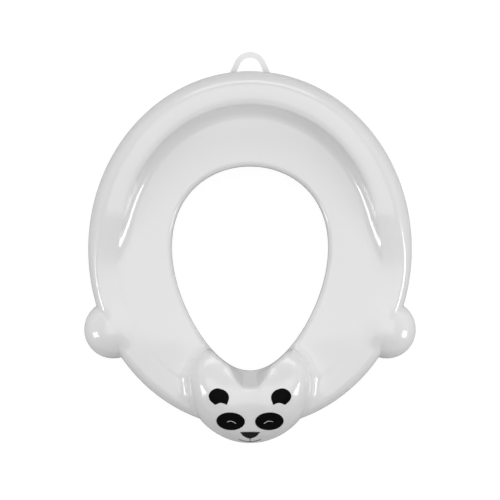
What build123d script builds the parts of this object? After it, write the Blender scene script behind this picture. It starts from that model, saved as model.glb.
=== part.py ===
from build123d import *
import os
from math import cos, exp, hypot, radians, sin, sqrt

# Toilet seat reducer: a ring-shaped child seat with a raised rim, two round paws and
# an animal head as splash guard. +Y is the back, -Y the front with the head, +Z is up,
# and Z zero is the level of the tips of the four locating tabs.

# Plan of the seat
body_width = 305.0
body_length = 335.4
hole_width = 144.0
hole_length = 192.7
hole_egg_share = 0.228
back_width = 89.3
head_overhang = 14.2
loop_reach = 18.9

# Levels of the seat, measured upward from the plane where the pads rest
tab_drop = 16.0
skirt_lift = 2.0
dish_height = 30.0
dish_rise = 3.0
side_rim_rise = 9.5
back_rim_rise = 24.0
front_rim_rise = 0.6
paw_height = 36.0
head_height = 81.0

# Walls, clearances and one overrun for every cut
wall = 2.6
lip_radius = 6.0
plate_thickness = 3.0
plate_clearance = 0.3
rib_thickness = 2.0
rib_height = 5.0
overrun = 6.0

# Raised rim
side_rim_width = 31.0
back_rim_width = 31.0
front_rim_width = 26.0
step_run = 14.5
roll_width = 14.0
front_roll_width = 8.0
arm_fade_start_share = 0.3
arm_fade_end_share = -0.22
roll_height_share = 0.42
roll_slope_share = 0.12
crest_slope_share = 0.25
step_lean_share = 0.4
cove_share = 0.7
edge_share = 0.11
third_share = 1 / 3
handle_share = 0.55
station_count = 18
strip_spans = 8
profile_spans = 8
chin_spans = 4
search_rounds = 40
probe_length = 1.0

# Round paws at the ends of the arms
paw_radius = 27.3
paw_inset = 6.7
paw_angle = -27.2
paw_dome = 22.0

# Head that rises from the front of the hole as splash guard
head_half_width = 60.0
head_front_depth = 59.2
head_back_depth = 40.0
head_under_depth = 31.0
head_floor_lift = 14.0
head_waist_lift = 33.0
head_rear_gap = 1.0
head_crest_range = 20.0
head_end_turn = 78.0
head_spans = 9
saddle_dip = 8.0
saddle_width = 17.0
basic_power = 2.0
flank_power = 1.6
flank_draft_share = 0.16

# Rear of the head: a ramp up to the crest, and a steep wall in the middle that ends in a point
ramp_width = 22.0
ramp_middle_foot = 67.0
ramp_side_foot = 60.0
ramp_middle_slope = 0.35
ramp_side_slope = 0.65
wall_foot = 24.0
wall_slope = 3.0
wall_flat_width = 5.0
wall_shift_share = 0.85

# Face print, as seen from straight above, measured from the middle line and the head's tip
print_thickness = 0.25
ear_offset = 29.0
ear_setback = 44.6
ear_width = 19.0
ear_depth = 15.4
patch_offset = 18.1
patch_setback = 21.4
patch_width = 26.6
patch_depth = 16.8
lid_width = 8.6
lid_rise = 1.4
lid_line = 0.4
ear_inner_foot_share = 0.78
ear_outer_foot_share = 0.38
ear_hollow_share = 0.24
ear_corner_share = 0.74
patch_tilt = 3.0
lid_shift_share = 0.04
nose_setback = 11.0
nose_width = 18.5
nose_depth = 6.2
mouth_setback = 1.6
mouth_width = 20.6
mouth_rise = 2.2
mouth_line = 0.8

# Locating tabs under the seat and their soft sleeves
tab_reach = 30.0
tab_thickness = 6.0
tab_half_angle = 8.5
tab_angles = (40.0, -18.0)
sleeve_wall = 2.0
sleeve_floor = 2.0
sleeve_height = 13.0
sleeve_clearance = 0.05

# Antislip pads
pad_thickness = 3.0
pad_edge_gap = 9.0
pad_width = 16.0
pad_corner_radius = 4.0
pad_spans = (("back", 48.0, 72.0), ("front", -64.0, -42.0))

# Screws and their bosses
screw_angles = (70.0, 14.0, -46.0)
screw_reach = 25.0
screw_radius = 1.5
screw_length = 13.0
screw_head_radius = 3.4
screw_head_height = 1.8
screw_slot_width = 0.9
screw_slot_depth = 1.0
pilot_clearance = 0.03
passage_clearance = 0.2
boss_radius = 4.5

# Hanging loop and its pocket
loop_width = 5.2
loop_thickness = 3.0
loop_arch_radius = 13.0
loop_splay = 24.0
loop_hinge_inset = 15.3
loop_barrel_radius = 2.5
loop_stub_radius = 1.6
loop_stub_length = 2.6
loop_stub_clearance = 0.05
loop_stub_floor = 2.0
loop_side_clearance = 0.4
loop_end_clearance = 0.6
pocket_wall = 3.0
pocket_roof = 2.5

# Places and levels worked out from the sizes above
overall_length = loop_reach + body_length + head_overhang
loop_tip_y = overall_length / 2
body_back_y = loop_tip_y - loop_reach
body_front_y = body_back_y - body_length
body_centre_y = body_back_y - body_length / 2
hole_back_y = body_back_y - back_width
hole_centre_y = hole_back_y - hole_length / 2
head_tip_y = body_front_y - head_overhang
pad_level = tab_drop
skirt_level = pad_level + skirt_lift
plate_level = pad_level + pad_thickness
plate_top = plate_level + plate_thickness
lip_level = pad_level + dish_height
foot_level = lip_level + dish_rise
paw_top = pad_level + paw_height
head_floor = pad_level + head_floor_lift
head_waist = pad_level + head_waist_lift
head_top = pad_level + head_height
head_centre_y = head_tip_y + head_front_depth
loop_hinge_y = body_back_y - loop_hinge_inset
loop_level = plate_level + loop_stub_floor + loop_stub_radius + loop_stub_clearance
pocket_ceiling = loop_level + loop_barrel_radius + loop_end_clearance
station_step = 180 / station_count
plate_inset = wall + plate_clearance
upward = Vector(0, 0, 1)


def between(first, last, share):
    """The value that lies at a share of the way from first to last."""
    return first + (last - first) * share


def ease(share):
    """A smooth ramp from 0 to 1, level at both ends."""
    inside = min(max(share, 0), 1)
    return inside * inside * (3 - 2 * inside)


# Stations round the ring: 90 degrees is the back, 0 the right side, -90 the front
def hole_point(angle):
    """A point on the egg-shaped edge of the hole."""
    turn = radians(angle)
    half_width = hole_width / 2 * (1 + hole_egg_share * sin(turn))
    return Vector(half_width * cos(turn), hole_centre_y + hole_length / 2 * sin(turn))


def outline_point(angle):
    """A point on the oval outline of the ring."""
    turn = radians(angle)
    return Vector(body_width / 2 * cos(turn), body_centre_y + body_length / 2 * sin(turn))


def outward(angle):
    """The direction of the ring's section, from the hole to the outline."""
    return (outline_point(angle) - hole_point(angle)).normalized()


def from_hole(angle, distance):
    """A point of the ring at a distance from the edge of the hole."""
    return hole_point(angle) + outward(angle) * distance


def from_edge(angle, distance):
    """A point of the ring at a distance from its outline."""
    return outline_point(angle) - outward(angle) * distance


def band_width(angle):
    """The width of the ring at a station."""
    return (outline_point(angle) - hole_point(angle)).length


def rim_value(angle, side, back, front):
    """A size of the rim that changes from the back over the sides to the front."""
    height = sin(radians(angle))
    fade = (arm_fade_start_share - height) / (arm_fade_start_share - arm_fade_end_share)
    return between(between(side, back, ease(height)), front, ease(fade))


def dish_level(angle, distance):
    """The level of the dish, which rises slightly from the hole to the foot of the step."""
    rim_width = rim_value(angle, side_rim_width, back_rim_width, front_rim_width)
    foot = band_width(angle) - rim_width - step_run
    return between(lip_level, foot_level, (distance - lip_radius) / (foot - lip_radius))


# Sections of the ring and of the head, each drawn smaller by an inset for the hollow
def ring_section(angle, inset):
    """One upright section of the ring, from the hole at the left to the outline."""
    width = band_width(angle)
    rise = rim_value(angle, side_rim_rise, back_rim_rise, front_rim_rise)
    rim_width = rim_value(angle, side_rim_width, back_rim_width, front_rim_width)
    roll_run = rim_value(angle, roll_width, roll_width, front_roll_width)
    crest = foot_level + rise
    crest_slope = crest_slope_share * rise / step_run
    crown = rim_width - roll_run
    lean = inset * step_lean_share
    foot_u = width - rim_width - step_run
    dish_slope = dish_rise / (foot_u - lip_radius)
    roll_height = roll_height_share * (crest - skirt_level)

    floor = skirt_level - overrun - inset
    lip_foot = Vector(inset, lip_level - lip_radius)
    lip_end = Vector(lip_radius, lip_level - inset)
    foot = Vector(foot_u + lean, foot_level - inset)
    step_end = Vector(foot_u + step_run + lean, crest - crest_slope * crown * third_share - inset)
    crown_end = Vector(width - roll_run, crest - roll_slope_share * crown * third_share - inset)
    roll_end = Vector(width - inset, crest - roll_height)

    lip = Vector(0, lip_radius - inset) * handle_share
    step = Vector(1, dish_slope) * step_run * cove_share
    step_out = Vector(1, crest_slope) * step_run * edge_share
    crown_in = Vector(1, crest_slope) * (crown_end.X - step_end.X) * third_share
    crown_out = Vector(1, -roll_slope_share) * (crown_end.X - step_end.X) * third_share
    roll_in = Vector(1, -roll_slope_share) * (roll_run - inset) * handle_share
    roll_out = Vector(0, crown_end.Y - roll_end.Y) * handle_share
    with BuildSketch(Plane(hole_point(angle), outward(angle), outward(angle).cross(upward))) as section:
        with BuildLine():
            Line((inset, floor), lip_foot)
            Bezier(lip_foot, lip_foot + lip, lip_end - Vector(lip.Y, dish_slope * lip.Y), lip_end)
            Line(lip_end, foot)
            Bezier(foot, foot + step, step_end - step_out, step_end)
            Bezier(step_end, step_end + crown_in, crown_end - crown_out, crown_end)
            Bezier(crown_end, crown_end + roll_in, roll_end + roll_out, roll_end)
            Line(roll_end, (width - inset, floor))
            Line((width - inset, floor), (inset, floor))
        make_face()
    return section.sketch


def ring_sections(inset):
    """Sections of the right half of the ring, with one more past each end."""
    angles = [90 + station_step * (1 - number) for number in range(station_count + 3)]
    return [ring_section(angle, inset) for angle in angles]


def hole_edge_y(x):
    """How far forward the edge of the hole lies at a distance from the middle line."""
    front, side = -90.0, 0.0
    for _ in range(search_rounds):
        middle = (front + side) / 2
        if hole_point(middle).X < abs(x):
            front = middle
        else:
            side = middle
    return hole_point(front).Y


def rear_level(x, y, inset):
    """The level of the head's rear at a place: the lower one of the ramp and the steep wall."""
    spot = Vector(abs(x), y)
    front, side = -90.0, 0.0
    for _ in range(search_rounds):
        middle = (front + side) / 2
        if outward(middle).cross(spot - hole_point(middle)).Z > 0:
            front = middle
        else:
            side = middle
    start = hole_point(front)
    distance = (spot - start).length
    aside = ease(start.X / ramp_width)
    slope = between(ramp_middle_slope, ramp_side_slope, aside)
    ramp = between(ramp_middle_foot, ramp_side_foot, aside) + slope * distance - inset * hypot(1, slope)
    shift = max(start.X - wall_flat_width, 0) * wall_shift_share
    rear_wall = wall_foot + wall_slope * (distance + shift) - inset * hypot(1, wall_slope)
    return pad_level + min(ramp, rear_wall)


def head_half(level, inset):
    """Half the width of the head at a level: its flanks lean inward above the dish."""
    return head_half_width - flank_draft_share * max(0, level - lip_level) - inset


def head_power(x, inset):
    """How boxy the head's body is: round in the middle, fuller toward the flanks."""
    return basic_power + flank_power * (x / (head_half_width - inset)) ** 2


def body_level(x, y, inset):
    """The level of the head's rounded body at a place."""
    depth = head_front_depth if y < head_centre_y else head_back_depth
    ahead = (y - head_centre_y) / (depth - inset)
    top = head_top - saddle_dip * exp(-((x / saddle_width) ** 2)) - inset
    power = head_power(x, inset)
    low, high = head_waist, top
    for _ in range(search_rounds):
        middle = (low + high) / 2
        height = (middle - head_waist) / (top - head_waist)
        if hypot(x / head_half(middle, inset), ahead) ** power + height**power < 1:
            low = middle
        else:
            high = middle
    return low


def chin_y(x, level, inset):
    """How far forward the lower front of the head reaches at a level."""
    power = head_power(x, inset)
    drop = (head_waist - level) / (head_under_depth - inset)
    plan = (1 - drop**power) ** (1 / power)
    room = max(0, plan**2 - (x / head_half(level, inset)) ** 2)
    return head_centre_y - (head_front_depth - inset) * sqrt(room)


def crest_y(x, edge, inset):
    """Where the rear of the head meets its rounded body."""
    rear, front = edge, head_centre_y - head_crest_range
    if rear_level(x, rear, inset) > body_level(x, rear, inset):
        return head_centre_y
    for _ in range(search_rounds):
        middle = (rear + front) / 2
        if rear_level(x, middle, inset) < body_level(x, middle, inset):
            rear = middle
        else:
            front = middle
    return rear


def head_section(turn, inset):
    """One section of the head, at a turn of 0 in the middle and wide on the flank."""
    x = head_half(head_waist, inset) * sin(radians(turn))
    floor = head_floor - inset
    lean = (hole_edge_y(abs(x) + probe_length) - hole_edge_y(x)) / probe_length
    edge = hole_edge_y(x) - head_rear_gap - inset * hypot(1, lean)
    edge = min(edge, head_centre_y + (head_back_depth - inset) * cos(radians(turn)))
    crest = crest_y(x, edge, inset)
    tip = chin_y(x, head_waist, inset)
    turns = [radians(90 * number / profile_spans) for number in range(profile_spans + 1)]

    rear_places = [between(edge, crest, 1 - cos(turn)) for turn in turns]
    rear = [Vector(y, min(rear_level(x, y, inset), body_level(x, y, inset))) for y in rear_places]
    front_places = [between(crest, tip, sin(turn)) for turn in turns]
    levels = [between(head_waist, floor, number / chin_spans) for number in range(chin_spans + 1)]
    chin = [Vector(chin_y(x, level, inset), level) for level in levels]
    face = [rear[-1]] + [Vector(y, body_level(x, y, inset)) for y in front_places[1:-1]] + [chin[0]]
    with BuildSketch(Plane(Vector(x, 0, 0), Vector(0, 1, 0), Vector(1, 0, 0))) as section:
        with BuildLine():
            Line((edge, floor), rear[0])
            Spline(rear)
            Spline(face)
            Spline(chin)
            Line(chin[-1], (edge, floor))
        make_face()
    return section.sketch


def head_sections(inset):
    """Sections of the right half of the head, with one past the middle line."""
    step = head_end_turn / head_spans
    return [head_section(step * number, inset) for number in range(-1, head_spans + 1)]


def paw_section(inset):
    """Half the section of a paw: a dome on an upright wall."""
    radius = paw_radius - inset
    top = paw_top - inset
    floor = skirt_level - overrun - inset
    dome_level = paw_top - paw_dome
    with BuildSketch(Plane(paw_centre, Vector(1, 0, 0), Vector(0, -1, 0))) as section:
        with BuildLine():
            Line((0, floor), (0, top))
            EllipticalCenterArc((0, dome_level), radius, top - dome_level, start_angle=0, arc_size=90)
            Line((radius, dome_level), (radius, floor))
            Line((radius, floor), (0, floor))
        make_face()
    return section.sketch


# Outlines in plan that more than one piece shares
def closed_face(place, distance):
    """The area inside a closed curve at one distance from the hole or from the outline."""
    spots = [place(station_step * number, distance) for number in range(2 * station_count)]
    with BuildSketch() as outline:
        with BuildLine():
            Spline(spots, periodic=True)
        make_face()
    return outline.sketch


def turn_for(angle, length):
    """The turn in degrees that moves the middle of a tab sideways by a length."""
    return length / (from_hole(angle + 1, tab_reach) - from_hole(angle, tab_reach)).length


def tab_outline(angle, margin):
    """The outline of a tab at a station, larger all round by a margin."""
    half_turn = tab_half_angle + turn_for(angle, margin)
    near = tab_reach - tab_thickness / 2 - margin
    return strip(from_hole, angle - half_turn, angle + half_turn, near, near + tab_thickness + 2 * margin)


def strip(place, start, end, near, far):
    """A curved strip of the ring between two stations and two distances."""
    turns = [between(start, end, number / strip_spans) for number in range(strip_spans + 1)]
    near_side = [place(turn, near) for turn in turns]
    far_side = [place(turn, far) for turn in reversed(turns)]
    with BuildSketch() as outline:
        with BuildLine():
            Spline(near_side)
            Line(near_side[-1], far_side[0])
            Spline(far_side)
            Line(far_side[-1], near_side[0])
        make_face()
    return outline.sketch


def loop_leg(side):
    """The hinge end and the upper end of one splayed leg of the hanging loop."""
    lean = radians(loop_splay)
    shoulder = Vector(side * loop_arch_radius * cos(lean), loop_centre_y + loop_arch_radius * sin(lean))
    drop = shoulder.Y - loop_hinge_y
    return Vector(shoulder.X + side * drop * sin(lean) / cos(lean), loop_hinge_y), shoulder


paw_centre = from_edge(paw_angle, paw_inset)
paw_axis = Axis(paw_centre, upward)
loop_centre_y = loop_tip_y - loop_width / 2 - loop_arch_radius
loop_hinge_x = loop_leg(1)[0].X
pocket_half_width = loop_hinge_x + loop_width / 2 + loop_side_clearance
pocket_front_y = 2 * loop_hinge_y - loop_tip_y - loop_side_clearance * 2
notch_half_width = loop_hinge_x
screw_spots = [from_hole(angle, screw_reach) for angle in screw_angles]
screw_spots += [Vector(-spot.X, spot.Y) for spot in screw_spots]
os.makedirs("parts", exist_ok=True)


# Seat shell: ring, paws and head in one moulding, hollow from below, right half mirrored
with BuildPart() as seat_shell:
    loft(ring_sections(0))
    loft(head_sections(0))
    revolve(paw_section(0), axis=paw_axis)
    loft(ring_sections(wall), mode=Mode.SUBTRACT)
    loft(head_sections(wall), mode=Mode.SUBTRACT)
    revolve(paw_section(wall), axis=paw_axis, mode=Mode.SUBTRACT)
    for angle in screw_angles:
        boss_top = dish_level(angle, screw_reach) - wall / 2
        with BuildSketch(Plane.XY.offset(plate_top)):
            with Locations(from_hole(angle, screw_reach)):
                Circle(boss_radius)
        extrude(amount=boss_top - plate_top)
        with BuildSketch(Plane.XY.offset(plate_top)):
            with Locations(from_hole(angle, screw_reach)):
                Circle(screw_radius + pilot_clearance)
        extrude(amount=screw_length, mode=Mode.SUBTRACT)
    split(bisect_by=Plane.XY.offset(skirt_level), keep=Keep.TOP)
    with BuildSketch(Plane.XY.offset(skirt_level - overrun)):
        with Locations((0, body_back_y)):
            Rectangle(2 * notch_half_width, 2 * (wall + overrun))
    extrude(amount=pocket_ceiling + overrun - skirt_level, mode=Mode.SUBTRACT)
    split(bisect_by=Plane.YZ, keep=Keep.TOP)
    mirror(about=Plane.YZ)
seat_shell.part.label = "seat_shell"
export_step(seat_shell.part, "parts/seat_shell.step")


# Base frame: the plate that closes the underside, with tabs and the pocket of the loop
with BuildPart() as base_frame:
    with BuildSketch(Plane.XY.offset(plate_level)):
        add(closed_face(from_edge, plate_inset))
        with Locations(paw_centre, (-paw_centre.X, paw_centre.Y)):
            Circle(paw_radius - plate_inset)
        add(closed_face(from_hole, plate_inset), mode=Mode.SUBTRACT)
    extrude(amount=plate_thickness)
    with BuildSketch(Plane.XY.offset(plate_top)):
        add(closed_face(from_hole, plate_inset + rib_thickness))
        add(closed_face(from_hole, plate_inset), mode=Mode.SUBTRACT)
    extrude(amount=rib_height)
    with BuildSketch(Plane.XY.offset(plate_top)):
        add(closed_face(from_edge, plate_inset))
        add(closed_face(from_edge, plate_inset + rib_thickness), mode=Mode.SUBTRACT)
    extrude(amount=rib_height)
    with BuildSketch(Plane.XY.offset(plate_level)):
        with Locations((0, pocket_front_y - pocket_wall)):
            Rectangle(
                2 * (pocket_half_width + pocket_wall),
                body_back_y - pocket_front_y + pocket_wall,
                align=(Align.CENTER, Align.MIN),
            )
        add(closed_face(from_edge, plate_inset), mode=Mode.INTERSECT)
    extrude(amount=pocket_ceiling + pocket_roof - plate_level)
    with BuildSketch(Plane.XY.offset(plate_level - overrun)):
        with Locations((0, pocket_front_y)):
            Rectangle(2 * pocket_half_width, body_back_y - pocket_front_y, align=(Align.CENTER, Align.MIN))
    extrude(amount=pocket_ceiling - plate_level + overrun, mode=Mode.SUBTRACT)
    with BuildSketch(Plane.YZ):
        with Locations((loop_hinge_y, loop_level)):
            Circle(loop_stub_radius + loop_stub_clearance)
    extrude(amount=pocket_half_width + pocket_wall + overrun, both=True, mode=Mode.SUBTRACT)
    with BuildSketch(Plane.XY.offset(sleeve_floor)):
        for angle in tab_angles:
            add(tab_outline(angle, 0))
        mirror(about=Plane.YZ)
    extrude(amount=plate_level - sleeve_floor)
    with BuildSketch(Plane.XY.offset(plate_level)):
        with Locations(*screw_spots):
            Circle(screw_radius + passage_clearance)
    extrude(amount=plate_thickness, mode=Mode.SUBTRACT)
base_frame.part.label = "base_frame"
export_step(base_frame.part, "parts/base_frame.step")


# Soft sleeves over the four tabs
for row, angle in zip(("back", "front"), tab_angles):
    for side, name in ((1, "right"), (-1, "left")):
        with BuildPart() as tab_sleeve:
            with BuildSketch():
                add(tab_outline(angle, sleeve_wall))
                fillet(vertices(), sleeve_wall)
                if side < 0:
                    mirror(about=Plane.YZ, mode=Mode.REPLACE)
            extrude(amount=sleeve_height)
            with BuildSketch(Plane.XY.offset(sleeve_floor)):
                add(tab_outline(angle, sleeve_clearance))
                if side < 0:
                    mirror(about=Plane.YZ, mode=Mode.REPLACE)
            extrude(amount=sleeve_height, mode=Mode.SUBTRACT)
        tab_sleeve.part.label = f"tab_sleeve_{row}_{name}"
        export_step(tab_sleeve.part, f"parts/tab_sleeve_{row}_{name}.step")


# Antislip pads on the underside of the base frame
for row, start, end in pad_spans:
    for side, name in ((1, "right"), (-1, "left")):
        with BuildPart() as antislip_pad:
            with BuildSketch(Plane.XY.offset(pad_level)):
                add(strip(from_edge, start, end, pad_edge_gap, pad_edge_gap + pad_width))
                fillet(vertices(), pad_corner_radius)
                if side < 0:
                    mirror(about=Plane.YZ, mode=Mode.REPLACE)
            extrude(amount=pad_thickness)
        antislip_pad.part.label = f"antislip_pad_{row}_{name}"
        export_step(antislip_pad.part, f"parts/antislip_pad_{row}_{name}.step")


# Screws from below, through the plate into the bosses of the shell
with BuildPart() as screws:
    with BuildSketch(Plane.XY.offset(plate_level - screw_head_height)):
        with Locations(*screw_spots):
            Circle(screw_head_radius)
    extrude(amount=screw_head_height)
    with BuildSketch(Plane.XY.offset(plate_level)):
        with Locations(*screw_spots):
            Circle(screw_radius)
    extrude(amount=screw_length)
    with BuildSketch(Plane.XY.offset(plate_level - screw_head_height)):
        with Locations(*screw_spots):
            Rectangle(screw_head_radius, screw_slot_width)
            Rectangle(screw_slot_width, screw_head_radius)
    extrude(amount=screw_slot_depth, mode=Mode.SUBTRACT)
screws.part.label = "screws"
export_step(screws.part, "parts/screws.step")


# Hanging loop: a flat arch with a barrel and a stub at the foot of each leg
with BuildPart() as hanging_loop:
    with BuildSketch(Plane.XY.offset(loop_level)):
        with BuildLine():
            right_foot, right_shoulder = loop_leg(1)
            left_foot, left_shoulder = loop_leg(-1)
            Line(right_foot, right_shoulder)
            ThreePointArc(right_shoulder, (0, loop_centre_y + loop_arch_radius), left_shoulder)
            Line(left_shoulder, left_foot)
        trace(line_width=loop_width)
    extrude(amount=loop_thickness / 2, both=True)
    for side in (1, -1):
        with BuildSketch(Plane.YZ.offset(side * loop_hinge_x)):
            with Locations((loop_hinge_y, loop_level)):
                Circle(loop_barrel_radius)
        extrude(amount=loop_width / 2, both=True)
        with BuildSketch(Plane.YZ.offset(side * loop_hinge_x)):
            with Locations((loop_hinge_y, loop_level)):
                Circle(loop_stub_radius)
        extrude(amount=side * (loop_width / 2 + loop_side_clearance + loop_stub_length))
hanging_loop.part.label = "hanging_loop"
export_step(hanging_loop.part, "parts/hanging_loop.step")


# Face print: thin layers on the head, cut to outlines seen from straight above
def ear_outline():
    """The right ear patch, with a round top and a hollow lower edge."""
    centre = Vector(ear_offset, head_tip_y + ear_setback)
    across = Vector(ear_width / 2, 0)
    along = Vector(0, ear_depth / 2)
    with BuildSketch() as outline:
        with BuildLine():
            inner_foot = centre - across * ear_inner_foot_share - along
            outer_foot = centre + across * ear_outer_foot_share - along
            Spline(
                inner_foot,
                centre - across,
                centre - across * ear_corner_share + along * ear_corner_share,
                centre + along,
                centre + across * ear_corner_share + along * ear_corner_share,
                centre + across,
                outer_foot,
            )
            ThreePointArc(outer_foot, (inner_foot + outer_foot) / 2 + along * ear_hollow_share, inner_foot)
        make_face()
    return outline.sketch


def patch_outline():
    """The right eye patch: a slightly tilted ellipse, and a closed lid left open in it."""
    centre = Vector(patch_offset, head_tip_y + patch_setback)
    lid_centre = centre - Vector(patch_width * lid_shift_share, 0)
    half_lid = Vector(lid_width / 2, 0)
    with BuildSketch() as outline:
        with Locations(centre):
            Ellipse(patch_width / 2, patch_depth / 2, rotation=patch_tilt)
        with BuildLine():
            foot = lid_centre - Vector(0, lid_rise)
            ThreePointArc(foot - half_lid, lid_centre, foot + half_lid)
        trace(line_width=lid_line, mode=Mode.SUBTRACT)
    return outline.sketch


def nose_outline():
    """The right half of the nose and a little more: a flat top on a rounded triangle."""
    top_y = head_tip_y + nose_setback
    with BuildSketch() as outline:
        with BuildLine():
            Line((-nose_width / 2, top_y), (nose_width / 2, top_y))
            Bezier(
                (nose_width / 2, top_y),
                (nose_width * third_share, top_y - nose_depth * 2 * third_share),
                (0, top_y - nose_depth),
            )
            Bezier(
                (0, top_y - nose_depth),
                (-nose_width * third_share, top_y - nose_depth * 2 * third_share),
                (-nose_width / 2, top_y),
            )
        make_face()
    return outline.sketch


def mouth_outline():
    """A short upright line below the nose and two shallow curves."""
    foot = Vector(0, head_tip_y + mouth_setback)
    with BuildSketch() as outline:
        with BuildLine():
            Line(foot, (0, head_tip_y + nose_setback - nose_depth))
        trace(line_width=mouth_line)
        for side in (1, -1):
            with BuildLine():
                corner = foot + Vector(side * mouth_width / 2, mouth_rise)
                Bezier(foot, foot + Vector(side * mouth_width * third_share, 0), corner)
            trace(line_width=mouth_line)
    return outline.sketch


prints = (
    ("face_ears", ear_outline()),
    ("face_eye_patches", patch_outline()),
    ("face_nose", nose_outline()),
    ("face_mouth", mouth_outline()),
)
for name, outline in prints:
    with BuildPart() as face_print:
        with BuildSketch(Plane.XY.offset(head_waist)):
            add(outline)
        extrude(amount=head_top - head_waist + overrun)
        loft(head_sections(-print_thickness), mode=Mode.INTERSECT)
        loft(head_sections(0), mode=Mode.SUBTRACT)
        split(bisect_by=Plane.YZ, keep=Keep.TOP)
        mirror(about=Plane.YZ)
    face_print.part.label = name
    export_step(face_print.part, f"parts/{name}.step")
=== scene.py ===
import math

import bpy
import numpy as np
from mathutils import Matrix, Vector
from mathutils.geometry import delaunay_2d_cdt


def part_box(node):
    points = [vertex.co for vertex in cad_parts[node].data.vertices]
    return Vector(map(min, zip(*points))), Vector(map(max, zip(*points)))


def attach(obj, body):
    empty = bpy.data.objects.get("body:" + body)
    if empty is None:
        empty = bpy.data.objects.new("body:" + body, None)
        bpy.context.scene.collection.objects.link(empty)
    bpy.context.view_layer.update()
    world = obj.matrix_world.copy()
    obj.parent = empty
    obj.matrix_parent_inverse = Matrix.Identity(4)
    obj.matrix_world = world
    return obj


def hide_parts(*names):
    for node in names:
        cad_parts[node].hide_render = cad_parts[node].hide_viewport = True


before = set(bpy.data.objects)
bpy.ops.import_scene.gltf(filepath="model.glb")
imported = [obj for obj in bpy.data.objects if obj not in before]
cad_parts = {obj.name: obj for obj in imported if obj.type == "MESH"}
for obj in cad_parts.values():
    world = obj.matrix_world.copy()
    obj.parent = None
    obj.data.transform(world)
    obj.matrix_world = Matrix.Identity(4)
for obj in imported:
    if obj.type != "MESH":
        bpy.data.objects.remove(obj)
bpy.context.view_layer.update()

# All sizes are in metres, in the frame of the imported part: +Y is the back, +Z is up.

# Sizes that the frame gives
shell_low, shell_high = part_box("seat_shell")
loop_low, loop_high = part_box("hanging_loop")
body_back_y = shell_high.y
head_tip_y = shell_low.y
skirt_level = shell_low.z
pad_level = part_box("antislip_pad_back_right")[0].z

# Plan of the seat
body_width = 0.305
body_length = 0.3354
hole_width = 0.144
hole_length = 0.1927
hole_egg_share = 0.228
back_width = 0.0893

# Levels above the plane of the pads
lip_level = pad_level + 0.030
foot_level = pad_level + 0.033
paw_top = pad_level + 0.036
side_rim_rise = 0.0095
back_rim_rise = 0.024
front_rim_rise = 0.0

# Raised rim
wall = 0.0026
lip_radius = 0.0048
side_rim_width = 0.031
back_rim_width = 0.031
front_rim_width = 0.026
step_run = 0.0145
roll_width = 0.014
front_roll_width = 0.008
arm_fade_start_share = 0.30
arm_fade_end_share = -0.22
roll_height_share = 0.42
roll_slope_share = 0.12
crest_slope_share = 0.25
edge_share = 0.11
cove_share = 0.7

# Paws
paw_radius = 0.0273
paw_inset = 0.0067
paw_turn = math.radians(-27.2)
paw_dome = 0.022

# Head: a rounded body with two lobes and a saddle between them
head_top = pad_level + 0.081
head_level = pad_level + 0.033
head_half_width = 0.060
head_front_depth = 0.0592
head_back_depth = 0.040
head_under_depth = 0.031
head_size = 0.045
head_lip_radius = 0.004
saddle_dip = 0.008
saddle_width = 0.017
flank_power = 1.6
flank_draft_share = 0.16

# Rear of the head: a ramp up to the crest, and a steep wall in the middle that ends in a point
ramp_width = 0.022
ramp_middle_foot = pad_level + 0.067
ramp_side_foot = pad_level + 0.060
ramp_middle_slope = 0.35
ramp_side_slope = 0.65
ramp_lean = 0.85
wall_foot = pad_level + 0.024
wall_slope = 3.0
wall_lean = 0.32
wall_flat_width = 0.005
wall_shift_share = 0.85
wall_edge_radius = 0.003
crest_radius = 0.010

# Soft transitions between ring, head and paws, and broken edges
head_blend = 0.014
head_notch_blend = 0.003
paw_blend = 0.012
paw_notch_blend = 0.001
notch_blend_run = 0.016
edge_break = 0.0006
slope_step = 0.0004

# Net from which the shell's mesh is made
net_turns = 720
net_levels = 96
net_margin = 0.0015
net_start = -0.003
net_overhang = 0.026

# How points are moved onto the surface and how places on it are found
probe_turn = 4e-5
probe_step = 5e-6
settle_rounds = 5
settle_longest = 0.0006
least_square = 0.01
tiny = 1e-12
step_rounds = 5
search_rounds = 45
search_turn = 0.3
search_margin = 0.002

# Notch in the rear wall, which the loop passes through
loop_stub_reach = 0.0056
notch_depth = 0.0086
notch_rise = 0.0031

# Places worked out from these sizes
body_centre_y = body_back_y - body_length / 2
hole_back_y = body_back_y - back_width
hole_centre_y = hole_back_y - hole_length / 2
head_centre_y = head_tip_y + head_front_depth
notch_half_width = (loop_high.x - loop_low.x) / 2 - loop_stub_reach
notch_front_y = body_back_y - notch_depth
notch_level = (loop_low.z + loop_high.z) / 2 + notch_rise


def between(first, last, share):
    """The value that lies at a share of the way from first to last."""
    return first + (last - first) * share


def ease(share):
    """A smooth ramp from 0 to 1, level at both ends."""
    inside = np.clip(share, 0, 1)
    return inside * inside * (3 - 2 * inside)


def cubic(first, second, third, fourth, share):
    """A point of a cubic curve with four control values."""
    rest = 1 - share
    return rest**3 * first + 3 * rest**2 * share * second + 3 * rest * share**2 * third + share**3 * fourth


# Plan curves of the ring
def hole_point(turn):
    half_width = hole_width / 2 * (1 + hole_egg_share * np.sin(turn))
    return half_width * np.cos(turn), hole_centre_y + hole_length / 2 * np.sin(turn)


def outline_point(turn):
    return body_width / 2 * np.cos(turn), body_centre_y + body_length / 2 * np.sin(turn)


def ray(turn):
    """The start, the direction and the width of the ring's section at a turn."""
    hole_x, hole_y = hole_point(turn)
    edge_x, edge_y = outline_point(turn)
    width = np.hypot(edge_x - hole_x, edge_y - hole_y)
    return hole_x, hole_y, (edge_x - hole_x) / width, (edge_y - hole_y) / width, width


def plan_point(turn, reach):
    hole_x, hole_y, across, along, _ = ray(turn)
    return hole_x + across * reach, hole_y + along * reach


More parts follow.
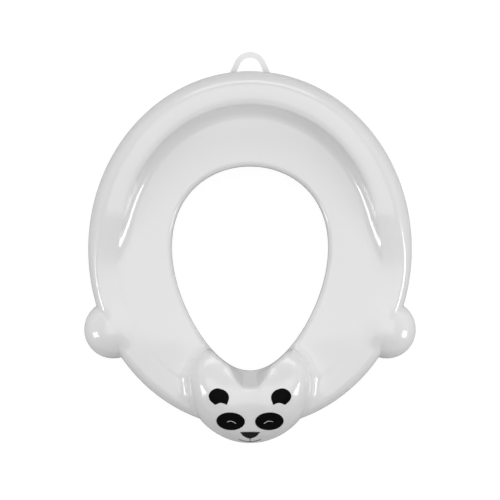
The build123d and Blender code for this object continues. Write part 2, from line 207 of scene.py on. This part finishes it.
def rim_value(turn, side, back, front):
    """A size of the rim that changes from the back over the sides to the front."""
    height = np.sin(turn)
    fade = (arm_fade_start_share - height) / (arm_fade_start_share - arm_fade_end_share)
    return between(between(side, back, ease(height)), front, ease(fade))


# Signed distances: below zero inside the plastic
def round_corner(first, second, first_radius, second_radius):
    """The space inside two faces that meet in an elliptical edge."""
    p = np.maximum(first / first_radius + 1, 0)
    q = np.maximum(second / second_radius + 1, 0)
    square = np.maximum(p * p + q * q, tiny)
    scale = (first_radius * p * p + second_radius * q * q) / square
    return np.where((p > 0) | (q > 0), (np.sqrt(square) - 1) * scale, np.maximum(first, second))


def soft_union(first, second, blend):
    """Both spaces together, with a fillet of about the blend's size."""
    nearness = np.maximum(blend - np.abs(first - second), 0) / blend
    return np.minimum(first, second) - nearness**3 * blend / 6


def step_level(share, run, low, low_slope, high, high_slope):
    """The level along the step, from the cove at its foot to the crisp edge at its top."""
    near, far = cove_share, 1 - edge_share
    t = np.clip(share, 0, 1)
    for _ in range(step_rounds):
        place = cubic(0, near, far, 1, t)
        speed = 3 * ((1 - t) ** 2 * near + 2 * (1 - t) * t * (far - near) + t**2 * (1 - far))
        t = np.clip(t - (place - np.clip(share, 0, 1)) / speed, 0, 1)
    return cubic(low, low + low_slope * run * near, high - high_slope * run * edge_share, high, t)


def ring_top(turn, reach):
    """The level of the ring's top before its edges are rounded, and the level of its crest."""
    _, _, _, _, width = ray(turn)
    rim_width = rim_value(turn, side_rim_width, back_rim_width, front_rim_width)
    rise = rim_value(turn, side_rim_rise, back_rim_rise, front_rim_rise)
    crest = foot_level + rise
    crest_slope = crest_slope_share * rise / step_run
    roll_run = rim_value(turn, roll_width, roll_width, front_roll_width)
    crown = rim_width - roll_run
    foot = width - rim_width - step_run
    dish_slope = (foot_level - lip_level) / (foot - lip_radius)
    step_end = crest - crest_slope * crown / 3
    crown_end = crest - roll_slope_share * crown / 3
    crown_in = step_end + crest_slope * crown / 3
    crown_out = crown_end + roll_slope_share * crown / 3

    dish = lip_level + dish_slope * (reach - lip_radius)
    step = step_level((reach - foot) / step_run, step_run, foot_level, dish_slope, step_end, crest_slope)
    crown_share = np.clip((reach - foot - step_run) / crown, 0, 1)
    crown_top = cubic(step_end, crown_in, crown_out, crown_end, crown_share)
    roll = crown_end - roll_slope_share * (reach - width + roll_run)
    top = np.where(reach < foot, dish, np.where(reach < foot + step_run, step, crown_top))
    return np.where(reach > width - roll_run, roll, top), crest


def ring_distance(turn, reach, z):
    """The ring with its rim, its rounded outer edge and the lip round the hole."""
    _, _, _, _, width = ray(turn)
    top, crest = ring_top(turn, reach)
    ahead, _ = ring_top(turn, reach + slope_step)
    behind, _ = ring_top(turn, reach - slope_step)
    above = (z - top) / np.hypot(1, (ahead - behind) / (2 * slope_step))
    lip = round_corner(above, -reach, lip_radius, lip_radius)
    roll_run = rim_value(turn, roll_width, roll_width, front_roll_width)
    edge = round_corner(above, reach - width, roll_height_share * (crest - skirt_level), roll_run)
    return np.maximum(lip, edge)


def head_distance(turn, reach, z):
    """The head: a rounded body, cut at the rear by a scoop that rises from the edge of the hole."""
    x, y = plan_point(turn, reach)
    side = np.abs(x) / (head_half_width - flank_draft_share * np.maximum(0, z - lip_level))
    ahead = y - head_centre_y
    plan = np.hypot(side, ahead / np.where(ahead < 0, head_front_depth, head_back_depth))
    top = head_top - saddle_dip * np.exp(-((x / saddle_width) ** 2))
    up = z - head_level
    tall = np.where(up > 0, top - head_level, head_under_depth)
    power = 2 + flank_power * (x / head_half_width) ** 2
    body = ((plan**power + np.abs(up / tall) ** power) ** (1 / power) - 1) * head_size

    hole_x, _ = hole_point(turn)
    aside = ease(np.abs(hole_x) / ramp_width)
    ramp_foot = between(ramp_middle_foot, ramp_side_foot, aside)
    ramp_top = ramp_foot + between(ramp_middle_slope, ramp_side_slope, aside) * reach
    ramp = (z - ramp_top) * ramp_lean
    shift = np.maximum(np.abs(hole_x) - wall_flat_width, 0) * wall_shift_share
    rear_wall = (z - wall_foot - wall_slope * (reach + shift)) * wall_lean
    rear = round_corner(ramp, rear_wall, wall_edge_radius, wall_edge_radius)
    head = round_corner(body, rear, crest_radius, crest_radius)
    return round_corner(head, -reach, head_lip_radius, head_lip_radius)


def paw_distance(x, y, z):
    """Both paws: upright cylinders with domed tops at the outline of the ring."""
    edge_x, edge_y = outline_point(paw_turn)
    _, _, across, along, _ = ray(paw_turn)
    flat = np.hypot(np.abs(x) - (edge_x - across * paw_inset), y - (edge_y - along * paw_inset)) / paw_radius
    up = np.maximum(z - paw_top + paw_dome, 0) / paw_dome
    return (np.hypot(flat, up) - 1) * paw_radius


def outer_distance(turn, reach, z):
    """The outer surface of the shell, as if it were solid."""
    x, y = plan_point(turn, reach)
    _, _, _, _, width = ray(turn)
    softness = ease((width - reach) / notch_blend_run)
    head_fillet = between(head_notch_blend, head_blend, softness)
    seat = soft_union(ring_distance(turn, reach, z), head_distance(turn, reach, z), head_fillet)
    paw_fillet = between(paw_notch_blend, paw_blend, softness)
    seat = soft_union(seat, paw_distance(x, y, z), paw_fillet)
    return np.maximum(seat, -reach)


def shell_distance(turn, reach, z):
    """The shell: hollow from below, with a notch at the back for the loop."""
    outer = outer_distance(turn, reach, z)
    hollow = np.maximum(outer, -outer - wall)
    skirt = round_corner(hollow, skirt_level - z, edge_break, edge_break)
    x, y = plan_point(turn, reach)
    notch = np.maximum(np.maximum(np.abs(x) - notch_half_width, notch_front_y - y), z - notch_level)
    return round_corner(skirt, -notch, edge_break, edge_break)


# Mesh of the shell: the distance is sampled on a net that follows the ring, and each point of
# the surface between its crossings is then moved onto the exact surface
def ring_net(turns):
    """Distances from the hole at which the net has its lines, closest where the surface bends."""
    _, _, _, _, width = ray(turns)
    rim_width = rim_value(turns, side_rim_width, back_rim_width, front_rim_width)
    foot = width - rim_width - step_run
    crown_end = width - rim_value(turns, roll_width, roll_width, front_roll_width)
    stops = [
        (net_start, 3), (0, 8), (lip_radius, 30), (foot, 14), (foot + step_run * cove_share, 12),
        (foot + step_run, 12), (crown_end, 14), (width, 22), (width + net_overhang, 0),
    ]
    lines = []
    for (start, count), (end, _) in zip(stops, stops[1:]):
        lines += [between(start, end, n / count) + 0 * width for n in range(count)]
    lines.append(stops[-1][0])
    return np.stack(lines, axis=1)


def surface_net(field):
    """The cells that the surface crosses, their crossing points and the faces between them."""
    count, across, up = field.shape
    following = np.roll(field, -1, axis=0)
    corners = [(i, j, k) for i in (0, 1) for j in (0, 1) for k in (0, 1)]
    corner_fields = []
    for i, j, k in corners:
        source = following if i else field
        corner_fields.append(source[:, j:across - 1 + j, k:up - 1 + k])
    inside = [values < 0 for values in corner_fields]
    crossed = np.logical_or.reduce(inside) & ~np.logical_and.reduce(inside)
    cells = np.argwhere(crossed)
    values = np.stack([one[crossed] for one in corner_fields], axis=1)
    total = np.zeros((len(cells), 3))
    hits = np.zeros(len(cells))
    for first in range(len(corners)):
        for second in range(first + 1, len(corners)):
            start, end = np.array(corners[first]), np.array(corners[second])
            if np.abs(end - start).sum() != 1:
                continue
            a, b = values[:, first], values[:, second]
            cut = (a < 0) != (b < 0)
            share = np.where(cut, a / np.where(cut, a - b, 1), 0)
            total += cut[:, None] * (start + share[:, None] * (end - start))
            hits += cut
    points = cells + total / hits[:, None]

    number = np.full(crossed.shape, -1)
    number[crossed] = np.arange(len(cells))
    before = np.roll(number, 1, axis=0)
    solid, solid_next = field < 0, following < 0
    along_turns = (
        (number[:, :-1, :-1], number[:, 1:, :-1], number[:, 1:, 1:], number[:, :-1, 1:]),
        solid[:, 1:-1, 1:-1], solid_next[:, 1:-1, 1:-1])
    along_reach = (
        (before[:, :, :-1], before[:, :, 1:], number[:, :, 1:], number[:, :, :-1]),
        solid[:, :-1, 1:-1], solid[:, 1:, 1:-1])
    along_levels = (
        (before[:, :-1, :], number[:, :-1, :], number[:, 1:, :], before[:, 1:, :]),
        solid[:, 1:-1, :-1], solid[:, 1:-1, 1:])
    quads = []
    for ring, near_solid, far_solid in (along_turns, along_reach, along_levels):
        change = near_solid != far_solid
        quad = np.stack([one[change] for one in ring], axis=1)
        flip = near_solid[change]
        quad[flip] = quad[flip][:, ::-1]
        quads.append(quad)
    return points, np.concatenate(quads)


def gradient(distance, turn, reach, z):
    """How a distance grows along x, y and z, and the terms that turn x and y into turn and reach."""
    turn_ahead, turn_behind = turn + probe_turn, turn - probe_turn
    by_turn = (distance(turn_ahead, reach, z) - distance(turn_behind, reach, z)) / (2 * probe_turn)
    step = probe_step
    by_reach = (distance(turn, reach + step, z) - distance(turn, reach - step, z)) / (2 * step)
    by_z = (distance(turn, reach, z + step) - distance(turn, reach, z - step)) / (2 * step)
    ahead, behind = plan_point(turn_ahead, reach), plan_point(turn_behind, reach)
    x_turn = (ahead[0] - behind[0]) / (2 * probe_turn)
    y_turn = (ahead[1] - behind[1]) / (2 * probe_turn)
    _, _, x_reach, y_reach, _ = ray(turn)
    size = x_turn * y_reach - y_turn * x_reach
    by_x = (by_turn * y_reach - by_reach * y_turn) / size
    by_y = (by_reach * x_turn - by_turn * x_reach) / size
    return by_x, by_y, by_z, (x_turn, y_turn, x_reach, y_reach, size)


def surface_normals(distance, turn, reach, z):
    """Directions straight out of the surface."""
    by_x, by_y, by_z, _ = gradient(distance, turn, reach, z)
    normals = np.stack([by_x, by_y, by_z], axis=1)
    return normals / np.maximum(np.linalg.norm(normals, axis=1), tiny)[:, None]


def settle(distance, turn, reach, z):
    """Moves points onto the surface where a distance is zero."""
    for _ in range(settle_rounds):
        by_x, by_y, by_z, (x_turn, y_turn, x_reach, y_reach, size) = gradient(distance, turn, reach, z)
        square = np.maximum(by_x**2 + by_y**2 + by_z**2, least_square)
        move = -distance(turn, reach, z) / square
        length = np.abs(move) * np.sqrt(square)
        move = move * np.minimum(1, settle_longest / np.maximum(length, tiny))
        step_x, step_y = move * by_x, move * by_y
        turn = turn + (step_x * y_reach - step_y * x_reach) / size
        reach = reach + (step_y * x_turn - step_x * y_turn) / size
        z = z + move * by_z
    return turn, reach, z


def mesh_piece(name, points, faces, material, body="seat"):
    """A smooth-shaded mesh that rides on a body."""
    mesh = bpy.data.meshes.new(name)
    mesh.from_pydata([tuple(point) for point in points], [], [tuple(face) for face in faces])
    mesh.polygons.foreach_set("use_smooth", [True] * len(mesh.polygons))
    mesh.materials.append(material)
    piece = bpy.data.objects.new(name, mesh)
    bpy.context.scene.collection.objects.link(piece)
    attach(piece, body)
    return piece


def make_shell(material):
    """The white moulding, in place of the frame's plain one."""
    turns = np.linspace(0, 2 * math.pi, net_turns, endpoint=False)
    lines = ring_net(turns)
    levels = np.linspace(skirt_level - net_margin, shell_high.z + net_margin, net_levels)
    field = shell_distance(turns[:, None, None], lines[:, :, None], levels[None, None, :])
    cells, quads = surface_net(field)
    around, across, up = cells.T
    low_turn = np.floor(around).astype(int) % net_turns
    low_line = np.clip(across.astype(int), 0, lines.shape[1] - 2)
    turn_share, line_share = around - np.floor(around), across - low_line
    near = between(lines[low_turn, low_line], lines[low_turn, low_line + 1], line_share)
    next_turn = (low_turn + 1) % net_turns
    far = between(lines[next_turn, low_line], lines[next_turn, low_line + 1], line_share)
    turn = around * 2 * math.pi / net_turns
    reach = between(near, far, turn_share)
    z = np.interp(up, np.arange(net_levels), levels)
    turn, reach, z = settle(shell_distance, turn, reach, z)
    x, y = plan_point(turn, reach)
    normals = surface_normals(shell_distance, turn, reach, z)
    piece = mesh_piece("seat_shell_moulding", np.stack([x, y, z], axis=1), quads, material)
    piece.data.normals_split_custom_set_from_vertices([tuple(normal) for normal in normals])
    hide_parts("seat_shell")


# Places on top of the shell, for the face print
def ring_place(x, y):
    """The turn and the distance from the hole of a point in plan."""
    low = np.arctan2(y - hole_centre_y, x) - search_turn
    high = low + 2 * search_turn
    for _ in range(search_rounds):
        middle = (low + high) / 2
        hole_x, hole_y, across, along, _ = ray(middle)
        left = across * (y - hole_y) - along * (x - hole_x) > 0
        low = np.where(left, middle, low)
        high = np.where(left, high, middle)
    hole_x, hole_y, across, along, _ = ray(low)
    return low, across * (x - hole_x) + along * (y - hole_y)


def top_of_shell(x, y):
    """The level of the shell's top, and its normal."""
    turn, reach = ring_place(x, y)
    low = np.full_like(x, lip_level)
    high = np.full_like(x, head_top + search_margin)
    for _ in range(search_rounds):
        middle = (low + high) / 2
        solid = outer_distance(turn, reach, middle) < 0
        low = np.where(solid, middle, low)
        high = np.where(solid, high, middle)
    return low, surface_normals(outer_distance, turn, reach, low)


# Materials, all made from nodes
coat_roughness = 0.05
gloss_spread = 0.03
gloss_scale = 60.0
gloss_detail = 4.0
tone_places = (0.3, 0.7)
tone_detail = 3.0
relief_detail = 2.0


def noise(nodes, links, scale, detail):
    """Noise in the space of the piece, from 0 to 1."""
    place = nodes.new("ShaderNodeTexCoord")
    texture = nodes.new("ShaderNodeTexNoise")
    texture.inputs["Scale"].default_value = scale
    texture.inputs["Detail"].default_value = detail
    links.new(place.outputs["Object"], texture.inputs["Vector"])
    return texture.outputs["Fac"]


def node_material(name, colour, roughness, specular=0.5, coat=0.0, metal=0.0, tone_spread=0.02,
                  tone_scale=18.0, relief_scale=400.0, relief_height=0.00001):
    """A moulded surface: slow changes of tone, finer changes of gloss and a slight relief."""
    material = bpy.data.materials.new(name)
    material.use_nodes = True
    nodes, links = material.node_tree.nodes, material.node_tree.links
    shader = nodes["Principled BSDF"]
    shader.inputs["Metallic"].default_value = metal
    shader.inputs["Specular IOR Level"].default_value = specular
    shader.inputs["Coat Weight"].default_value = coat
    shader.inputs["Coat Roughness"].default_value = coat_roughness

    tones = nodes.new("ShaderNodeValToRGB")
    dark, light = 1 - tone_spread, 1 + tone_spread
    for element, place, share in zip(tones.color_ramp.elements, tone_places, (dark, light)):
        element.position = place
        element.color = (*(min(value * share, 1) for value in colour), 1)
    links.new(noise(nodes, links, tone_scale, tone_detail), tones.inputs["Fac"])
    links.new(tones.outputs["Color"], shader.inputs["Base Color"])

    gloss = nodes.new("ShaderNodeMapRange")
    gloss.inputs["To Min"].default_value = roughness - gloss_spread
    gloss.inputs["To Max"].default_value = roughness + gloss_spread
    links.new(noise(nodes, links, gloss_scale, gloss_detail), gloss.inputs["Value"])
    links.new(gloss.outputs["Result"], shader.inputs["Roughness"])

    bump = nodes.new("ShaderNodeBump")
    bump.inputs["Distance"].default_value = relief_height
    bump.inputs["Strength"].default_value = 1.0
    links.new(noise(nodes, links, relief_scale, relief_detail), bump.inputs["Height"])
    links.new(bump.outputs["Normal"], shader.inputs["Normal"])
    return material


def dress(node, material):
    """Gives a node of the frame its material."""
    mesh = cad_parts[node].data
    mesh.materials.clear()
    mesh.materials.append(material)


shell_white = node_material(
    "shell_gloss_white", (0.80, 0.80, 0.80), 0.16, coat=0.4, tone_spread=0.006, relief_scale=90.0,
    relief_height=0.00002)
frame_white = node_material(
    "frame_fine_white", (0.74, 0.74, 0.735), 0.5, relief_scale=1800.0, relief_height=0.00005)
loop_white = node_material("loop_clear_white", (0.86, 0.86, 0.87), 0.22, tone_spread=0.01)
soft_grey = node_material(
    "soft_grey_rubber", (0.42, 0.43, 0.44), 0.7, tone_spread=0.05, relief_scale=1200.0,
    relief_height=0.00008)
screw_steel = node_material(
    "screw_steel", (0.55, 0.55, 0.56), 0.3, metal=1.0, relief_scale=900.0, relief_height=0.00003)
print_black = node_material(
    "print_black", (0.003, 0.003, 0.003), 0.3, specular=0.02, tone_spread=0.15, tone_scale=300.0)
print_nose = node_material(
    "print_nose", (0.014, 0.014, 0.0145), 0.3, specular=0.05, tone_spread=0.2, tone_scale=300.0)
print_mouth = node_material(
    "print_mouth", (0.10, 0.10, 0.102), 0.3, specular=0.2, tone_spread=0.2, tone_scale=300.0)

# Pieces of the frame that keep their shape
dress("base_frame", frame_white)
dress("hanging_loop", loop_white)
dress("screws", screw_steel)
for row in ("back", "front"):
    for side in ("right", "left"):
        dress(f"tab_sleeve_{row}_{side}", soft_grey)
        dress(f"antislip_pad_{row}_{side}", soft_grey)
for node, material in (("face_ears", print_black), ("face_eye_patches", print_black),
                       ("face_nose", print_nose), ("face_mouth", print_mouth)):
    dress(node, material)

make_shell(shell_white)


# Face print
print_thickness = 0.0002
print_lift = 0.00003
print_step = 0.0009
print_gap_share = 0.6
stroke_spans = 12
print_weld = 1e-7
ear_offset = 0.029
ear_setback = 0.0446
ear_width = 0.019
ear_depth = 0.0154
ear_outer_foot = (0.38, -1)
ear_dome = ((0.84, -0.5), (1, 0.12), (0.72, 0.72), (0.1, 1), (-0.7, 0.62), (-0.98, -0.1))
ear_inner_foot = (-0.78, -1)
ear_hollow = (-0.2, -0.76)
patch_offset = 0.0181
patch_setback = 0.0214
patch_width = 0.0266
patch_depth = 0.0168
patch_tilt = math.radians(3)
patch_points = 64
lid_width = 0.0086
lid_rise = 0.0014
lid_line = 0.00065
lid_tilt = math.radians(12)
lid_shift_share = 0.04
lid_arch = ((-0.5, -1), (-0.25, -0.25), (0, 0), (0.25, -0.25), (0.5, -1))
nose_setback = 0.011
nose_width = 0.0185
nose_depth = 0.0062
nose_flank = (0.32, 0.62)
mouth_setback = 0.0016
mouth_width = 0.0206
mouth_rise = 0.0022
mouth_line = 0.0008
smile_line = 0.00055
smile_arch = ((-0.5, 1), (-0.25, 0.3), (0, 0), (0.25, 0.3), (0.5, 1))


def stroke(points):
    """A smooth curve through points in plan."""
    points = np.array(points, float)
    ends = np.vstack([2 * points[0] - points[1], points, 2 * points[-1] - points[-2]])
    before, here, following, after = ends[:-3], ends[1:-2], ends[2:-1], ends[3:]
    share = np.linspace(0, 1, stroke_spans, endpoint=False)[:, None, None]
    first, last = (following - before) / 2, (after - here) / 2
    curve = (
        (2 * share**3 - 3 * share**2 + 1) * here + (share**3 - 2 * share**2 + share) * first
        + (3 * share**2 - 2 * share**3) * following + (share**3 - share**2) * last
    )
    return np.vstack([curve.transpose(1, 0, 2).reshape(-1, 2), points[-1]])


def corner_loop(*strokes):
    """A closed outline of smooth strokes that meet in corners."""
    return np.vstack([part[:-1] for part in strokes])


def band(curve, width):
    """The outline of a line of even width along a curve."""
    along = np.gradient(curve, axis=0)
    along /= np.linalg.norm(along, axis=1)[:, None]
    aside = np.stack([-along[:, 1], along[:, 0]], axis=1) * width / 2
    return np.vstack([curve + aside, (curve - aside)[::-1]])


def in_outline(outline, x, y):
    """Whether points in plan lie inside an outline."""
    inside = np.zeros(len(x), bool)
    for (start_x, start_y), (end_x, end_y) in zip(outline, np.roll(outline, -1, axis=0)):
        if start_y == end_y:
            continue
        crosses = (start_y > y) != (end_y > y)
        inside ^= crosses & (x < start_x + (y - start_y) / (end_y - start_y) * (end_x - start_x))
    return inside


def print_layer(outlines, holes):
    """Flat triangles inside outlines and outside their holes."""
    points, edges = [], []
    for loop in [*outlines, *holes]:
        start = len(points)
        points += [tuple(point) for point in loop]
        edges += [(start + n, start + (n + 1) % len(loop)) for n in range(len(loop))]
    border = np.array(points)
    low, high = border.min(axis=0), border.max(axis=0)
    columns, rows = (np.arange(low[n], high[n], print_step) for n in (0, 1))
    x, y = (places.ravel() for places in np.meshgrid(columns, rows))
    kept = np.zeros(len(x), bool)
    for outline in outlines:
        kept |= in_outline(outline, x, y)
    gaps = np.hypot(x[:, None] - border[None, :, 0], y[:, None] - border[None, :, 1]).min(axis=1)
    kept &= gaps > print_step * print_gap_share
    points += list(zip(x[kept], y[kept]))
    spots, _, faces, _, _, _ = delaunay_2d_cdt([Vector(point) for point in points], edges, [], 1, print_weld)
    spots = np.array([tuple(spot) for spot in spots])
    faces = np.array([tuple(face) for face in faces])
    middles = spots[faces].mean(axis=1)
    for hole in holes:
        outside = ~in_outline(hole, middles[:, 0], middles[:, 1])
        faces, middles = faces[outside], middles[outside]
    used = np.unique(faces)
    return spots[used], np.searchsorted(used, faces)


def make_print(name, node, outlines, holes, material):
    """A thin layer on the shell, whose outline is seen from straight above."""
    spots, faces = print_layer(outlines, holes)
    levels, normals = top_of_shell(spots[:, 0], spots[:, 1])
    points = np.column_stack([spots, levels]) + normals * print_lift
    piece = mesh_piece(name, points, faces, material)
    layer = piece.modifiers.new("layer", "SOLIDIFY")
    layer.thickness = print_thickness
    layer.offset = 1.0
    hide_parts(node)


def mirrored(outline):
    """The same outline on the other side of the middle line."""
    return (outline * np.array([-1, 1]))[::-1]


def ear_outline():
    """A rounded square with a hollow foot."""
    centre = np.array([ear_offset, head_tip_y + ear_setback])
    half_size = np.array([ear_width, ear_depth]) / 2
    dome = np.array([ear_outer_foot, *ear_dome, ear_inner_foot])
    hollow = np.array([ear_inner_foot, ear_hollow, ear_outer_foot])
    return corner_loop(stroke(centre + dome * half_size), stroke(centre + hollow * half_size))


def tilted(centre, along, aside, tilt):
    """Points in plan, given along and across a direction that is tilted about a centre."""
    x = centre[0] + along * math.cos(tilt) - aside * math.sin(tilt)
    y = centre[1] + along * math.sin(tilt) + aside * math.cos(tilt)
    return np.stack([x, y], axis=1)


def patch_outline():
    """A slightly tilted ellipse."""
    turns = np.linspace(0, 2 * math.pi, patch_points, endpoint=False)
    centre = (patch_offset, head_tip_y + patch_setback)
    return tilted(centre, patch_width / 2 * np.cos(turns), patch_depth / 2 * np.sin(turns), patch_tilt)


def lid_outline():
    """A closed lid: a small arch whose outer end lies higher."""
    centre = (patch_offset - lid_shift_share * patch_width, head_tip_y + patch_setback)
    along, aside = (np.array(lid_arch) * (lid_width, lid_rise)).T
    return band(stroke(tilted(centre, along, aside, lid_tilt)), lid_line)


def nose_outline():
    """A wide triangle with a straight top and soft sides."""
    top_y = head_tip_y + nose_setback
    right, left, foot = (nose_width / 2, top_y), (-nose_width / 2, top_y), (0, top_y - nose_depth)
    flank_x, flank_y = nose_flank[0] * nose_width, top_y - nose_flank[1] * nose_depth
    lower = stroke([left, (-flank_x, flank_y), foot, (flank_x, flank_y), right])
    return corner_loop(lower, np.array([right, left]))


def mouth_outlines():
    """A short upright line under the nose, and the smile at its foot."""
    foot_y = head_tip_y + mouth_setback
    upright = band(np.array([(0, foot_y), (0, head_tip_y + nose_setback - nose_depth)]), mouth_line)
    smile = np.array(smile_arch) * (mouth_width, mouth_rise) + (0, foot_y)
    return [upright, band(stroke(smile), smile_line)]


ears, patches, lids = ([one, mirrored(one)] for one in (ear_outline(), patch_outline(), lid_outline()))
make_print("printed_ears", "face_ears", ears, [], print_black)
make_print("printed_eye_patches", "face_eye_patches", patches, lids, print_black)
make_print("printed_nose", "face_nose", [nose_outline()], [], print_nose)
make_print("printed_mouth", "face_mouth", mouth_outlines(), [], print_mouth)


# Camera straight above, floor, world and lamps
camera_height = 5.5
picture_width = 0.470
camera_y = -0.0028
camera_plane = 0.050
camera_sensor = 36.0
camera_range = 20.0
floor_size = 6.0
floor_level = -0.0003
floor_tone = 0.62
floor_glow = 1.12
floor_glow_share = 0.85
floor_roughness = 0.9
world_front = 0.15
world_back = 0.42
world_side = 0.12
lamp_target = (0, 0, 0.04)

# Each softbox: its name, place, width, length and radiance
lamps = (
    ("overhead", (0, 0.18, 1.9), 2.0, 1.6, 1.22),
    ("left_box", (-1.040, -0.358, 0.45), 0.26, 0.38, 9.0),
    ("right_box", (1.052, -0.322, 0.45), 0.34, 0.38, 9.0),
    ("back_fill", (0, 1.5, 0.75), 1.6, 0.5, 2.4),
)


def make_camera():
    """A camera that looks straight down, as the photograph does."""
    data = bpy.data.cameras.new("camera")
    data.sensor_width = camera_sensor
    data.lens = camera_sensor * camera_height / picture_width
    data.clip_end = camera_range
    camera = bpy.data.objects.new("camera", data)
    camera.location = (0, camera_y, camera_plane + camera_height)
    bpy.context.scene.collection.objects.link(camera)
    bpy.context.scene.camera = camera


def seen_directly(nodes, links, *other_rays):
    """1 for rays from the camera and for the other kinds of ray that are named, 0 for the rest."""
    path = nodes.new("ShaderNodeLightPath")
    seen = path.outputs["Is Camera Ray"]
    for ray_kind in other_rays:
        either = nodes.new("ShaderNodeMath")
        either.operation = "MAXIMUM"
        links.new(seen, either.inputs[0])
        links.new(path.outputs[ray_kind], either.inputs[1])
        seen = either.outputs["Value"]
    return seen


def make_floor():
    """A pale floor that is seen as the white background and still keeps a share of the shadow."""
    sides = ((-1, -1), (1, -1), (1, 1), (-1, 1))
    corners = [(floor_size * x, floor_size * y, floor_level) for x, y in sides]
    mesh = bpy.data.meshes.new("floor")
    mesh.from_pydata(corners, [], [(0, 1, 2, 3)])
    material = bpy.data.materials.new("floor_pale")
    material.use_nodes = True
    nodes, links = material.node_tree.nodes, material.node_tree.links
    shader = nodes["Principled BSDF"]
    shader.inputs["Base Color"].default_value = (*[floor_tone] * 3, 1)
    shader.inputs["Roughness"].default_value = floor_roughness
    glow = nodes.new("ShaderNodeEmission")
    glow.inputs["Strength"].default_value = floor_glow
    glow.inputs["Color"].default_value = (1, 1, 1, 1)
    share = nodes.new("ShaderNodeMath")
    share.operation = "MULTIPLY"
    share.inputs[1].default_value = floor_glow_share
    mix = nodes.new("ShaderNodeMixShader")
    links.new(seen_directly(nodes, links, "Is Transmission Ray"), share.inputs[0])
    links.new(share.outputs["Value"], mix.inputs["Fac"])
    links.new(shader.outputs["BSDF"], mix.inputs[1])
    links.new(glow.outputs["Emission"], mix.inputs[2])
    links.new(mix.outputs["Shader"], nodes["Material Output"].inputs["Surface"])
    mesh.materials.append(material)
    floor = bpy.data.objects.new("floor", mesh)
    bpy.context.scene.collection.objects.link(floor)


def make_world():
    """A white studio that lights the part more from the back and the sides than from the front."""
    world = bpy.data.worlds.new("studio")
    bpy.context.scene.world = world
    world.use_nodes = True
    nodes, links = world.node_tree.nodes, world.node_tree.links
    background = nodes["Background"]
    background.inputs["Color"].default_value = (1, 1, 1, 1)
    place = nodes.new("ShaderNodeTexCoord")
    parts = nodes.new("ShaderNodeSeparateXYZ")
    along = nodes.new("ShaderNodeMapRange")
    along.inputs["From Min"].default_value = -1.0
    along.inputs["To Min"].default_value = world_front
    along.inputs["To Max"].default_value = world_back
    aside = nodes.new("ShaderNodeMath")
    aside.operation = "ABSOLUTE"
    level = nodes.new("ShaderNodeMath")
    level.operation = "MULTIPLY_ADD"
    level.inputs[1].default_value = world_side
    links.new(place.outputs["Generated"], parts.inputs["Vector"])
    links.new(parts.outputs["Y"], along.inputs["Value"])
    links.new(parts.outputs["X"], aside.inputs[0])
    links.new(aside.outputs["Value"], level.inputs[0])
    links.new(along.outputs["Result"], level.inputs[2])
    strength = nodes.new("ShaderNodeMapRange")
    strength.inputs["To Max"].default_value = 1.0
    directly = seen_directly(nodes, links, "Is Glossy Ray", "Is Transmission Ray")
    links.new(directly, strength.inputs["Value"])
    links.new(level.outputs["Value"], strength.inputs["To Min"])
    links.new(strength.outputs["Result"], background.inputs["Strength"])


def make_lamp(name, place, width, length, radiance):
    """A softbox that faces the part."""
    data = bpy.data.lights.new(name, "AREA")
    data.shape = "RECTANGLE"
    data.size, data.size_y = width, length
    data.energy = radiance * math.pi * width * length
    lamp = bpy.data.objects.new(name, data)
    lamp.location = place
    lamp.rotation_euler = (Vector(lamp_target) - Vector(place)).to_track_quat("-Z", "Y").to_euler()
    bpy.context.scene.collection.objects.link(lamp)


make_camera()
make_floor()
make_world()
for lamp_values in lamps:
    make_lamp(*lamp_values)
bpy.context.scene.view_settings.view_transform = "Standard"
